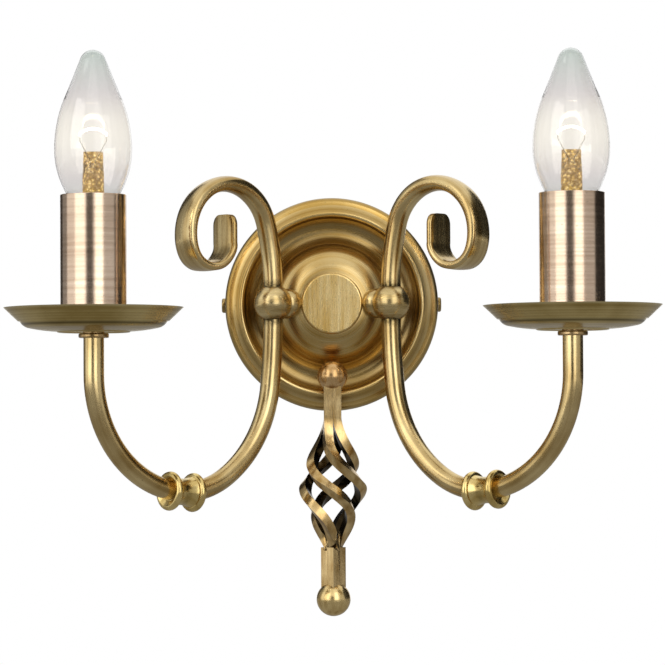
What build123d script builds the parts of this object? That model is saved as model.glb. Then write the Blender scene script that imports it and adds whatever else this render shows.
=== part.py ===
# Double arm wall sconce: a spun wall plate, two J-shaped candle arms with rolled scrolls, and an open
# basket twist that hangs below the plate. Millimetres. The wall is the plane y = 0, the room lies
# towards -Y, +Z is up, and the origin is the centre of the plate's back. Depths are distances out from
# the wall.
from build123d import *
from math import cos, pi, radians, sin, sqrt, tan
import os

os.makedirs("parts", exist_ok=True)

SIDES = (("left", -1), ("right", 1))

# ---- driving sizes -----------------------------------------------------------------------------------

# Fits, as radial gaps
screw_gap = 0.10  # screw or shank in a drilled hole
seam_gap = 0.02  # brazed or pressed seats
sleeve_gap = 0.15  # candle sleeve over the holder's foot
cap_gap = 0.25  # lamp cap in its screwed shell

# Wall plate, spun from sheet: outline from the hub outwards
plate_sheet = 1.0
hub_radius = 14.5
hub_depth = 30.0
hub_round = 1.1
flank_sag = 2.3
ridge_radius = 29.5
ridge_depth = 17.4
ridge_step = 0.7
bowl_radius = 36.0
bowl_depth = 14.6
bowl_edge_radius = 41.0
bowl_edge_depth = 17.2
bead_radius = 43.0
bead_depth = 24.0
bead_round = 1.3
bead_fall = 0.9  # where the bead meets the ring, measured back from its top
ring_radius = 49.0
ring_depth = 20.6
ring_crown = 0.35
plate_radius = 50.8
plate_wall_depth = 17.5

# Strap behind the plate
strap_width = 20.0
strap_sheet = 2.0
strap_bend = 1.5
ear_length = 14.0
ear_width = 12.0
ear_gap = 0.25  # ear to the plate's side wall
ear_relief = 1.5
slot_spacing = 50.8
slot_length = 12.0
slot_width = 5.0
side_screw_depth = 8.0
side_screw_diameter = 4.0
side_screw_length = 7.0
side_head_diameter = 7.0
side_head_height = 1.8
side_head_round = 0.9
side_slot_width = 0.9
side_slot_depth = 0.8
earth_screw_x = 38.0
earth_screw_diameter = 4.0
earth_head_diameter = 7.0
earth_head_height = 2.4
earth_head_round = 0.8
block_width = 15.0
block_height = 13.0
block_depth = 7.5
block_round = 1.0
block_chamfer = 0.4
block_foot = 3.0
port_x = 2.6
port_depth = 3.0

# Arms: each stands in its own upright plane, turned out from the wall
arm_angle = 40.0
arm_root_depth = 11.0  # where both arm planes meet in front of the wall
ball_reach = 36.3
ball_diameter = 18.0
tube_diameter = 9.3
tube_wall = 0.65
tube_stop = 4.9  # from the ball's centre to the tube ends inside it
root_bend_radius = 274.0
root_bend_angle = 7.0
inner_bend_radius = 58.0
inner_bend_angle = 52.0
low_bend_radius = 43.0
low_bend_angle = 38.0
outer_bend_radius = 53.5
riser_length = 16.6

# Turned stem between plate and ball
stem_waist_diameter = 9.6
stem_knob_diameter = 14.2
stem_knob_setback = 9.3  # its widest place, behind the ball's centre
stem_knob_back = 3.5  # how far the knob reaches behind its widest place, and in front
stem_knob_front = 3.6
stem_lip_diameter = 11.6
shank_diameter = 6.0
shank_bore = 4.0
shank_start = 9.5
nut_start = 13.2
nut_height = 4.0
nut_across_flats = 10.0
stem_washer_diameter = 9.4

# Scroll: round above the ball, flattened to a ribbon at its tip
scroll_rise = 6.6
sweep_radius = 118.0
sweep_angle = 15.0
crown_radius = 24.2
crown_angle = 181.0
curl_radius = 11.3
curl_angle = 164.0
tip_length = 13.0
ribbon_width = 16.2
ribbon_thickness = 3.0
ribbon_edge = 0.85  # how far the rounded edges reach in from each side
ribbon_crown = 0.12  # how far the faces stand out in the middle
tip_corner = 4.5
flatten_stations = 17

# Double-ring collar at the foot of the arm
collar_angle = 35.0  # how far round the lowest bend it sits
collar_ring_diameter = 18.0
collar_ring_width = 3.6
collar_ring_spacing = 13.4
collar_neck_diameter = 12.2
collar_dish_depth = 1.5
collar_dish_diameter = 14.0

# Candle: seat, pan, holder, sleeve; pan heights are measured down from its rim
seat_diameter = 13.7
seat_thickness = 2.0
seat_round = 0.6
seat_neck_diameter = 9.8
seat_neck_height = 0.9
pan_diameter = 80.8
pan_height = 10.8
pan_sheet = 1.0
pan_cone_radius = 34.0
pan_cone_drop = 6.1
pan_notch = 0.8
pan_bowl_radius = 29.2
pan_bowl_drop = 9.2
pan_foot_radius = 15.7
pan_foot_width = 1.8
pan_foot_height = 0.5
nipple_bore = 5.4
nipple_below_seat = 6.0
nipple_above_pan = 7.0
sleeve_diameter = 29.8
sleeve_wall = 0.6
sleeve_edge = 0.15
sleeve_height = 60.4
holder_foot_height = 3.0
holder_diameter = 25.0
holder_height = 49.0
holder_top_chamfer = 1.0
socket_floor = 25.0  # above the pan's floor
shell_thickness = 0.45
shell_rise = 3.4
shell_top_gap = 1.6
contact_width = 4.6
contact_sheet = 0.5
contact_length = 5.6
contact_height = 1.8

# Lamp: candle bulb with a screwed cap; heights are above the tip of the cap
cap_diameter = 13.6
cap_sheet = 0.4
cap_bottom = 5.0
cap_top = 24.0
cap_chamfer = 0.6
tip_diameter = 5.0
tip_height = 1.6
insulator_diameter = 6.4
glass_sheet = 0.7
glass_neck_length = 5.0
glass_waist_diameter = 28.4
glass_waist_height = 38.2
glass_diameter = 35.0
glass_belly_height = 54.0
glass_shoulder_diameter = 26.8
glass_shoulder_height = 76.0
glass_point_diameter = 11.2
glass_point_height = 95.2
glass_height = 99.0
mount_flare_height = 10.0
mount_rod_diameter = 4.0
mount_top = 46.0
wire_diameter = 0.5
wire_rise = 3.0
wire_root = 1.1
wire_spread = 6.0
wire_bend = 2.0
filament_height = 61.0
filament_diameter = 1.0
filament_arch = 2.4

# Leads inside
lead_diameter = 2.6
lead_root_bend = 5.0
lead_ball_bend = 4.0

# Basket finial
finial_depth = 32.0
finial_height = -34.4
top_ball_diameter = 14.3
bottom_ball_diameter = 16.0
finial_shank_diameter = 5.0
finial_neck_diameter = 6.6
finial_foot_diameter = 10.0
finial_foot_depth = 18.0
finial_foot_round = 1.2
finial_washer_diameter = 10.0
finial_washer_sheet = 1.2
finial_nut_across_flats = 8.0
finial_nut_height = 3.2
finial_shank_tail = 1.2
bar_side = 4.1
bar_gap = 0.05
top_bar_seat = 4.6
top_bundle_length = 15.0
basket_length = 61.0
bottom_bundle_length = 19.0
bottom_bar_seat = 5.4
basket_turn = 225.0
basket_swell = 10.1
basket_lag = 0.6
basket_skew = 1.16
basket_fullness = 1.6
basket_stations = 15

# ---- shared geometry ---------------------------------------------------------------------------------

arm_out = {}
arm_plane = {}
stem_plane = {}
for side, sign in SIDES:
    arm_out[side] = Vector(sign * cos(radians(arm_angle)), -sin(radians(arm_angle)), 0)
    arm_plane[side] = Plane(
        origin=(0, -arm_root_depth, 0), x_dir=arm_out[side], z_dir=arm_out[side].cross(Vector(0, 0, 1))
    )
    stem_plane[side] = Plane(origin=(0, -arm_root_depth, 0), x_dir=(0, 0, 1), z_dir=arm_out[side])

tube_radius = tube_diameter / 2
tube_bore_radius = tube_radius - tube_wall
ball_radius = ball_diameter / 2
shank_radius = shank_diameter / 2

# ---- backplate ---------------------------------------------------------------------------------------
# Its outline is drawn as radius and depth and spun about the line out from the wall. The bulk is the
# plate with its inside filled; it also shapes the pieces that seat on the sheet.

with BuildPart() as plate_bulk:
    with BuildSketch(Plane.XY):
        with BuildLine():
            hub_face = Line((0, -hub_depth), (hub_radius - hub_round, -hub_depth))
            hub_edge = TangentArc(hub_face @ 1, (hub_radius, -hub_depth + hub_round), tangent=(1, 0))
            flank_end = (ridge_radius - ridge_step, -ridge_depth - ridge_step)
            flank = SagittaArc(hub_edge @ 1, flank_end, -flank_sag)
            step = Line(flank @ 1, (ridge_radius, -ridge_depth))
            bowl = ThreePointArc(step @ 1, (bowl_radius, -bowl_depth), (bowl_edge_radius, -bowl_edge_depth))
            bead_wall = Line(bowl @ 1, (bead_radius - bead_round, -bead_depth + bead_round))
            bead = TangentArc(
                bead_wall @ 1, (bead_radius + bead_round, -bead_depth + bead_fall), tangent=bead_wall % 1
            )
            ring = SagittaArc(bead @ 1, (ring_radius, -ring_depth), ring_crown)
            side_wall = Line((plate_radius, -plate_wall_depth), (plate_radius, 0))
            edge = TangentArc(side_wall @ 0, ring @ 1, tangent=(0, -1))
            back = Line(side_wall @ 1, (0, 0))
            centre = Line(back @ 1, hub_face @ 0)
        make_face()
    revolve(axis=Axis.Y)

with BuildPart() as plate_blank:
    add(plate_bulk.part)
    offset(amount=-plate_sheet, openings=plate_blank.faces().sort_by(Axis.Y)[-1])

with BuildPart() as plate_inside:
    add(plate_bulk.part)
    add(plate_blank.part, mode=Mode.SUBTRACT)

with BuildPart() as backplate:
    add(plate_blank.part)
    with BuildSketch(*stem_plane.values()):
        Circle(shank_radius + screw_gap)
    extrude(amount=ball_reach, mode=Mode.SUBTRACT)
    with BuildSketch(Plane.XZ):
        with Locations((0, finial_height)):
            Circle(finial_shank_diameter / 2 + screw_gap)
    extrude(amount=finial_depth, mode=Mode.SUBTRACT)
    with BuildSketch(Plane.YZ):
        with Locations((-side_screw_depth, 0)):
            Circle(side_screw_diameter / 2 + screw_gap)
    extrude(amount=plate_radius, both=True, mode=Mode.SUBTRACT)
backplate.part.label = "backplate"
export_step(backplate.part, "parts/backplate.step")

# ---- strap on the wall -------------------------------------------------------------------------------
# A bent steel strip. Its ears stand just inside the plate's side wall and take the side screws.

ear_face = sqrt((plate_radius - plate_sheet) ** 2 - (ear_width / 2) ** 2) - ear_gap

with BuildPart() as wall_bracket:
    with BuildSketch(Plane.XY):
        with Locations((0, -ear_length / 2)):
            Rectangle(2 * ear_face, ear_length)
        fillet(vertices().group_by(Axis.Y)[-1], strap_bend + strap_sheet)
        with BuildSketch(mode=Mode.PRIVATE) as strap_inside:
            with Locations((0, -strap_sheet - ear_length / 2)):
                Rectangle(2 * (ear_face - strap_sheet), ear_length)
            fillet(strap_inside.vertices().group_by(Axis.Y)[-1], strap_bend)
        add(strap_inside.sketch, mode=Mode.SUBTRACT)
    extrude(amount=strap_width / 2, both=True)
    with BuildSketch(Plane.XZ):
        with GridLocations(2 * ear_face, strap_width, 2, 2):
            Rectangle(2 * (strap_sheet + strap_bend + ear_relief), strap_width - ear_width)
    extrude(amount=ear_length, mode=Mode.SUBTRACT)
    with BuildSketch(Plane.XZ):
        with GridLocations(slot_spacing, 0, 2, 1):
            SlotOverall(slot_length, slot_width)
        with Locations((earth_screw_x, 0)):
            Circle(earth_screw_diameter / 2 + screw_gap)
    extrude(amount=strap_sheet, mode=Mode.SUBTRACT)
    with BuildSketch(Plane.YZ):
        with Locations((-side_screw_depth, 0)):
            Circle(side_screw_diameter / 2 + screw_gap)
    extrude(amount=plate_radius, both=True, mode=Mode.SUBTRACT)
wall_bracket.part.label = "wall_bracket"
export_step(wall_bracket.part, "parts/wall_bracket.step")

with BuildPart() as earth_screw:
    with BuildSketch(Plane.XZ.offset(screw_gap)):
        with Locations((earth_screw_x, 0)):
            Circle(earth_screw_diameter / 2)
    extrude(amount=strap_sheet - screw_gap)
    with BuildSketch(Plane.XZ.offset(strap_sheet)):
        with Locations((earth_screw_x, 0)):
            Circle(earth_head_diameter / 2)
    extrude(amount=earth_head_height)
    fillet(earth_screw.edges().sort_by(Axis.Y)[0], earth_head_round)
    with BuildSketch(Plane.XZ.offset(strap_sheet + earth_head_height)):
        with Locations((earth_screw_x, 0)):
            Rectangle(earth_head_diameter, side_slot_width)
    extrude(amount=-side_slot_depth, mode=Mode.SUBTRACT)
earth_screw.part.label = "earth_screw"
export_step(earth_screw.part, "parts/earth_screw.step")

with BuildPart() as terminal_block:
    with BuildSketch(Plane.XZ.offset(strap_sheet)):
        RectangleRounded(block_width, block_height, block_round)
    extrude(amount=block_depth)
    chamfer(terminal_block.faces().sort_by(Axis.Y)[0].edges(), block_chamfer)
    with BuildSketch(Plane.XZ.offset(strap_sheet + block_depth)):
        with GridLocations(2 * port_x, 0, 2, 1):
            Circle(lead_diameter / 2 + screw_gap)
    extrude(amount=-port_depth, mode=Mode.SUBTRACT)
    with BuildSketch(Plane.XY.offset(block_height / 2)):
        with Locations((0, -strap_sheet - block_depth / 2)):
            with GridLocations(2 * port_x + block_foot, 0, 2, 1):
                Circle(block_foot / 2)
    extrude(amount=-block_foot, mode=Mode.SUBTRACT)
terminal_block.part.label = "terminal_block"
export_step(terminal_block.part, "parts/terminal_block.step")

# ---- side screws -------------------------------------------------------------------------------------

for side, sign in SIDES:
    head_seat = Plane(
        origin=(sign * plate_radius, -side_screw_depth, 0), x_dir=(0, 1, 0), z_dir=(sign, 0, 0)
    )
    with BuildPart() as side_screw:
        with BuildSketch(head_seat):
            Circle(side_head_diameter / 2)
        extrude(amount=side_head_height)
        fillet(side_screw.edges().sort_by(Axis.X)[-1 if sign > 0 else 0], side_head_round)
        with BuildSketch(head_seat):
            Circle(side_screw_diameter / 2)
        extrude(amount=-side_screw_length)
        with BuildSketch(head_seat.offset(side_head_height)):
            Rectangle(side_slot_width, side_head_diameter)
        extrude(amount=-side_slot_depth, mode=Mode.SUBTRACT)
    side_screw.part.label = f"side_screw_{side}"
    export_step(side_screw.part, f"parts/side_screw_{side}.step")

# ---- arms --------------------------------------------------------------------------------------------
# Each route is a chain of tangent bends in the arm's own plane, from inside the ball down, out and up
# again. In that plane x runs out along the arm from the plate's centre line and y is up.

route_bends = (
    (root_bend_radius, root_bend_angle),
    (inner_bend_radius, inner_bend_angle),
    (low_bend_radius, low_bend_angle),
    (outer_bend_radius, 180 - root_bend_angle - inner_bend_angle - low_bend_angle),
)

arm_route = {}
arm_rod = {}
low_bend = {}
for side, sign in SIDES:
    with BuildLine(arm_plane[side]) as route:
        heel = Line((ball_reach, -tube_stop), (ball_reach, -tube_stop - tube_wall))
        bends = [heel]
        for radius, angle in route_bends:
            bends.append(JernArc(bends[-1] @ 1, bends[-1] % 1, radius, angle))
        riser = Line(bends[-1] @ 1, (bends[-1] @ 1) + Vector(0, 0, riser_length))
    arm_route[side] = route.line
    low_bend[side] = bends[3]

    with BuildPart() as rod:
        with BuildSketch(Plane(origin=heel @ 0, z_dir=heel % 0)):
            Circle(tube_radius)
        sweep(path=route.line)
    arm_rod[side] = rod.part

    with BuildPart() as arm:
        add(rod.part)
        with BuildSketch(Plane(origin=heel @ 0, z_dir=heel % 0)):
            Circle(tube_bore_radius)
        sweep(path=route.line, mode=Mode.SUBTRACT)
    arm.part.label = f"arm_{side}"
    export_step(arm.part, f"parts/arm_{side}.step")

    with BuildPart() as ball_collar:
        with BuildSketch(arm_plane[side]):
            with BuildLine():
                ball_round = CenterArc((ball_reach, 0), ball_radius, -90, 180)
                Line(ball_round @ 1, ball_round @ 0)
            make_face()
        revolve(axis=Axis(arm_plane[side].from_local_coords((ball_reach, 0, 0)), (0, 0, 1)))
        with BuildSketch(Plane.XY):
            with Locations(arm_plane[side].from_local_coords((ball_reach, 0, 0))):
                Circle(tube_radius + seam_gap)
        extrude(amount=ball_radius, both=True, mode=Mode.SUBTRACT)
        with BuildSketch(stem_plane[side]):
            Circle(shank_radius + seam_gap)
        extrude(amount=ball_reach, mode=Mode.SUBTRACT)
    ball_collar.part.label = f"ball_collar_{side}"
    export_step(ball_collar.part, f"parts/ball_collar_{side}.step")

# ---- stems -------------------------------------------------------------------------------------------
# A turned knob seats on the plate's flank and cups the ball. Its hollow shank goes through the plate to
# a nut and brings the lead into the ball.

knob_reach = ball_reach - stem_knob_setback

for side, sign in SIDES:
    with BuildPart() as arm_stem:
        with BuildSketch(arm_plane[side]):
            with BuildLine():
                foot = Line((nut_start, 0), (nut_start, stem_waist_diameter / 2))
                waist = Line(foot @ 1, (knob_reach - stem_knob_back, stem_waist_diameter / 2))
                knob = ThreePointArc(
                    waist @ 1,
                    (knob_reach, stem_knob_diameter / 2),
                    (knob_reach + stem_knob_front, stem_lip_diameter / 2),
                )
                Polyline(knob @ 1, (ball_reach, 0), foot @ 0)
            make_face()
        revolve(axis=Axis(arm_plane[side].origin, arm_out[side]))
        add(plate_bulk.part, mode=Mode.SUBTRACT)
        with Locations(arm_plane[side].from_local_coords((ball_reach, 0, 0))):
            Sphere(ball_radius, mode=Mode.SUBTRACT)
        with BuildSketch(stem_plane[side].offset(shank_start)):
            Circle(shank_radius)
        extrude(amount=ball_reach - tube_radius - shank_start)
        with BuildSketch(stem_plane[side].offset(shank_start)):
            Circle(shank_bore / 2)
        extrude(amount=ball_reach, mode=Mode.SUBTRACT)
    arm_stem.part.label = f"arm_stem_{side}"
    export_step(arm_stem.part, f"parts/arm_stem_{side}.step")

    with BuildPart() as stem_nut:
        with BuildSketch(stem_plane[side].offset(nut_start)):
            RegularPolygon(nut_across_flats / 2, 6, major_radius=False)
            Circle(shank_radius + seam_gap, mode=Mode.SUBTRACT)
        extrude(amount=nut_height)
    stem_nut.part.label = f"stem_nut_{side}"
    export_step(stem_nut.part, f"parts/stem_nut_{side}.step")

    with BuildPart() as stem_washer:
        with BuildSketch(stem_plane[side].offset(nut_start + nut_height)):
            Circle(stem_washer_diameter / 2)
            Circle(shank_radius + screw_gap, mode=Mode.SUBTRACT)
        extrude(amount=ball_reach - nut_start)
        add(plate_inside.part, mode=Mode.INTERSECT)
    stem_washer.part.label = f"stem_washer_{side}"
    export_step(stem_washer.part, f"parts/stem_washer_{side}.step")

# ---- arm collars -------------------------------------------------------------------------------------
# One turned spool with two rounded rings, slid over the bent tube and brazed at the arm's lowest point.

ring_inner = (collar_ring_spacing - collar_ring_width) / 2
ring_outer = (collar_ring_spacing + collar_ring_width) / 2
ring_shoulder = (collar_ring_diameter - collar_ring_width) / 2

for side, sign in SIDES:
    collar_place = collar_angle / low_bend_angle
    spool_plane = Plane(
        origin=low_bend[side] @ collar_place,
        x_dir=low_bend[side] % collar_place,
        z_dir=arm_plane[side].z_dir,
    )
    with BuildPart() as arm_collar:
        with BuildSketch(spool_plane):
            with BuildLine():
                middle = Line((0, 0), (0, collar_neck_diameter / 2))
                cove = TangentArc(middle @ 1, (ring_inner, ring_shoulder), tangent=(1, 0))
                ring_top = ThreePointArc(
                    cove @ 1, (collar_ring_spacing / 2, collar_ring_diameter / 2), (ring_outer, ring_shoulder)
                )
                Polyline(
                    ring_top @ 1,
                    (ring_outer, collar_dish_diameter / 2),
                    (ring_outer - collar_dish_depth, tube_radius),
                    (ring_outer - collar_dish_depth, 0),
                    middle @ 0,
                )
            make_face()
            mirror(about=Plane.YZ)
        revolve(axis=Axis(spool_plane.origin, spool_plane.x_dir))
        add(arm_rod[side], mode=Mode.SUBTRACT)
    arm_collar.part.label = f"arm_collar_{side}"
    export_step(arm_collar.part, f"parts/arm_collar_{side}.step")

# ---- scrolls -----------------------------------------------------------------------------------------
# The tube above the ball leans over, and from the crown on it is hammered flatter and wider until it is
# a ribbon. Every station is four arcs: a circle where the tube is round, faces and edges where it is
# flat.

for side, sign in SIDES:
    with BuildLine(arm_plane[side]) as scroll_route:
        scroll_foot = Line((ball_reach, tube_stop), (ball_reach, scroll_rise))
        lean = JernArc(scroll_foot @ 1, scroll_foot % 1, sweep_radius, -sweep_angle)
        crown = JernArc(lean @ 1, lean % 1, crown_radius, -crown_angle)
        curl = JernArc(crown @ 1, crown % 1, curl_radius, -curl_angle)
    flat_length = crown.length + curl.length
    tip_plane = Plane(
        origin=curl @ 1, x_dir=curl % 1, z_dir=(curl % 1).cross(arm_plane[side].z_dir)
    )

    with BuildPart() as scroll_tip:
        with BuildSketch(tip_plane):
            with Locations((tip_length / 2, 0)):
                Rectangle(tip_length, ribbon_width)
            fillet(vertices().sort_by(Axis(tip_plane.origin, tip_plane.x_dir))[-2:], tip_corner)
        extrude(amount=ribbon_thickness, both=True)
        with BuildSketch(Plane(origin=curl @ 1, x_dir=arm_plane[side].z_dir, z_dir=curl % 1)):
            with BuildLine():
                half_face = ribbon_width / 2 - ribbon_edge
                half_edge = ribbon_thickness / 2 - ribbon_crown
                ThreePointArc((-half_face, half_edge), (0, ribbon_thickness / 2), (half_face, half_edge))
                ThreePointArc((half_face, half_edge), (ribbon_width / 2, 0), (half_face, -half_edge))
                ThreePointArc((half_face, -half_edge), (0, -ribbon_thickness / 2), (-half_face, -half_edge))
                ThreePointArc((-half_face, -half_edge), (-ribbon_width / 2, 0), (-half_face, half_edge))
            make_face()
        extrude(amount=tip_length, mode=Mode.INTERSECT)

    with BuildPart() as scroll:
        with BuildSketch(Plane(origin=scroll_foot @ 0, z_dir=scroll_foot % 0)):
            Circle(tube_radius)
        sweep(path=Wire([scroll_foot, lean]))
        for station in range(flatten_stations):
            share = station / (flatten_stations - 1)
            along = share * flat_length
            if along <= crown.length:
                bend, place = crown, along / crown.length
            else:
                bend, place = curl, (along - crown.length) / curl.length
            half_width = tube_radius + share * (ribbon_width / 2 - tube_radius)
            half_height = tube_radius + share * (ribbon_thickness / 2 - tube_radius)
            round_corner = tube_radius * sqrt(0.5)
            corner_x = round_corner + share * (ribbon_width / 2 - ribbon_edge - round_corner)
            corner_y = round_corner + share * (ribbon_thickness / 2 - ribbon_crown - round_corner)
            with BuildSketch(Plane(origin=bend @ place, x_dir=arm_plane[side].z_dir, z_dir=bend % place)):
                with BuildLine():
                    ThreePointArc((-corner_x, corner_y), (0, half_height), (corner_x, corner_y))
                    ThreePointArc((corner_x, corner_y), (half_width, 0), (corner_x, -corner_y))
                    ThreePointArc((corner_x, -corner_y), (0, -half_height), (-corner_x, -corner_y))
                    ThreePointArc((-corner_x, -corner_y), (-half_width, 0), (-corner_x, corner_y))
                make_face()
        loft()
        add(scroll_tip.part)
    scroll.part.label = f"scroll_{side}"
    export_step(scroll.part, f"parts/scroll_{side}.step")

# ---- candles -----------------------------------------------------------------------------------------
# A seat brazed to the tube, a nipple in its bore, the pan on the seat, and the holder screwed down on
# the nipple. The candle sleeve stands on the pan's floor round the holder's foot. Profiles are drawn as
# radius and height.

nipple_radius = tube_bore_radius - seam_gap
pan_under = seat_thickness + seat_neck_height
pan_floor = pan_under + pan_sheet
pan_rim = pan_under + pan_height
sleeve_radius = sleeve_diameter / 2
cap_radius = cap_diameter / 2
shell_radius = cap_radius + cap_gap
socket_radius = shell_radius + shell_thickness + seam_gap
lead_radius = lead_diameter / 2

candle_plane = {}
candle_axis = {}
for side, sign in SIDES:
    candle_foot = arm_route[side].edges().sort_by(Axis.X)[0 if sign < 0 else -1]
    candle_foot = candle_foot.vertices().sort_by(Axis.Z)[-1]
    candle_plane[side] = Plane(origin=candle_foot, x_dir=(1, 0, 0), z_dir=(0, -1, 0))
    candle_axis[side] = Axis(candle_plane[side].origin, (0, 0, 1))

for side, sign in SIDES:
    profile = candle_plane[side]
    spin = candle_axis[side]

    with BuildPart() as pan_seat:
        with BuildSketch(profile):
            with BuildLine():
                Polyline(
                    (nipple_radius + seam_gap, 0),
                    (seat_diameter / 2, 0),
                    (seat_diameter / 2, seat_thickness),
                    (seat_neck_diameter / 2, seat_thickness),
                    (seat_neck_diameter / 2, pan_under),
                    (nipple_radius + seam_gap, pan_under),
                    close=True,
                )
            make_face()
            fillet(vertices().sort_by(Axis.X)[-2:], seat_round)
        revolve(axis=spin)
    pan_seat.part.label = f"pan_seat_{side}"
    export_step(pan_seat.part, f"parts/pan_seat_{side}.step")

    with BuildPart() as holder_nipple:
        with BuildSketch(Plane(profile.origin).offset(-nipple_below_seat)):
            Circle(nipple_radius)
            Circle(nipple_bore / 2, mode=Mode.SUBTRACT)
        extrude(amount=nipple_below_seat + pan_floor + nipple_above_pan)
    holder_nipple.part.label = f"holder_nipple_{side}"
    export_step(holder_nipple.part, f"parts/holder_nipple_{side}.step")

    with BuildPart() as drip_pan:
        with BuildSketch(profile):
            with BuildLine():
                underside = Line((0, pan_under), (pan_foot_radius - pan_foot_width / 2, pan_under))
                foot_ring = ThreePointArc(
                    underside @ 1,
                    (pan_foot_radius, pan_under - pan_foot_height),
                    (pan_foot_radius + pan_foot_width / 2, pan_under),
                )
                bowl_edge = (pan_bowl_radius, pan_rim - pan_bowl_drop)
                dish = SagittaArc(foot_ring @ 1, bowl_edge, -pan_foot_height / 2)
                cone_edge = (pan_cone_radius - pan_notch, pan_rim - pan_cone_drop)
                haunch = TangentArc(dish @ 1, cone_edge, tangent=dish % 1)
                Polyline(
                    haunch @ 1,
                    (pan_cone_radius, pan_rim - pan_cone_drop),
                    (pan_diameter / 2, pan_rim),
                    (0, pan_rim),
                    underside @ 0,
                )
            make_face()
        revolve(axis=spin)
        offset(amount=-pan_sheet, openings=drip_pan.faces().sort_by(Axis.Z)[-1])
        with BuildSketch(Plane(profile.origin)):
            Circle(nipple_radius + screw_gap)
        extrude(amount=pan_rim, mode=Mode.SUBTRACT)
    drip_pan.part.label = f"drip_pan_{side}"
    export_step(drip_pan.part, f"parts/drip_pan_{side}.step")

    with BuildPart() as lampholder:
        with BuildSketch(profile):
            with BuildLine():
                Polyline(
                    (nipple_radius + seam_gap, pan_floor),
                    (sleeve_radius - sleeve_wall - sleeve_gap, pan_floor),
                    (sleeve_radius - sleeve_wall - sleeve_gap, pan_floor + holder_foot_height),
                    (holder_diameter / 2, pan_floor + holder_foot_height),
                    (holder_diameter / 2, pan_floor + holder_height - holder_top_chamfer),
                    (holder_diameter / 2 - holder_top_chamfer, pan_floor + holder_height),
                    (socket_radius, pan_floor + holder_height),
                    (socket_radius, pan_floor + socket_floor),
                    (lead_radius + screw_gap, pan_floor + socket_floor),
                    (lead_radius + screw_gap, pan_floor + nipple_above_pan),
                    (nipple_radius + seam_gap, pan_floor + nipple_above_pan),
                    close=True,
                )
            make_face()
        revolve(axis=spin)
    lampholder.part.label = f"lampholder_{side}"
    export_step(lampholder.part, f"parts/lampholder_{side}.step")

    with BuildPart() as contact_shell:
        with BuildSketch(Plane(profile.origin).offset(pan_floor + socket_floor + shell_rise)):
            Circle(shell_radius + shell_thickness)
            Circle(shell_radius, mode=Mode.SUBTRACT)
        extrude(amount=holder_height - socket_floor - shell_rise - shell_top_gap)
    contact_shell.part.label = f"contact_shell_{side}"
    export_step(contact_shell.part, f"parts/contact_shell_{side}.step")

    with BuildPart() as centre_contact:
        with BuildSketch(profile):
            with Locations((0, pan_floor + socket_floor + contact_height / 2)):
                Rectangle(contact_length, contact_height)
                with Locations((-contact_sheet, 0)):
                    Rectangle(contact_length, contact_height - 2 * contact_sheet, mode=Mode.SUBTRACT)
        extrude(amount=contact_width / 2, both=True)
    centre_contact.part.label = f"centre_contact_{side}"
    export_step(centre_contact.part, f"parts/centre_contact_{side}.step")

    with BuildPart() as candle_sleeve:
        with BuildSketch(Plane(profile.origin).offset(pan_floor)):
            Circle(sleeve_radius)
            Circle(sleeve_radius - sleeve_wall, mode=Mode.SUBTRACT)
        extrude(amount=sleeve_height)
        chamfer(candle_sleeve.edges().group_by(Axis.Z)[-1], sleeve_edge)
    candle_sleeve.part.label = f"candle_sleeve_{side}"
    export_step(candle_sleeve.part, f"parts/candle_sleeve_{side}.step")

# ---- lamps -------------------------------------------------------------------------------------------
# Each lamp stands on the centre contact. Profiles are drawn as radius and height above the tip of its
# cap.

glass_neck_radius = cap_radius - cap_sheet - seam_gap
glass_radius = glass_diameter / 2

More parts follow.
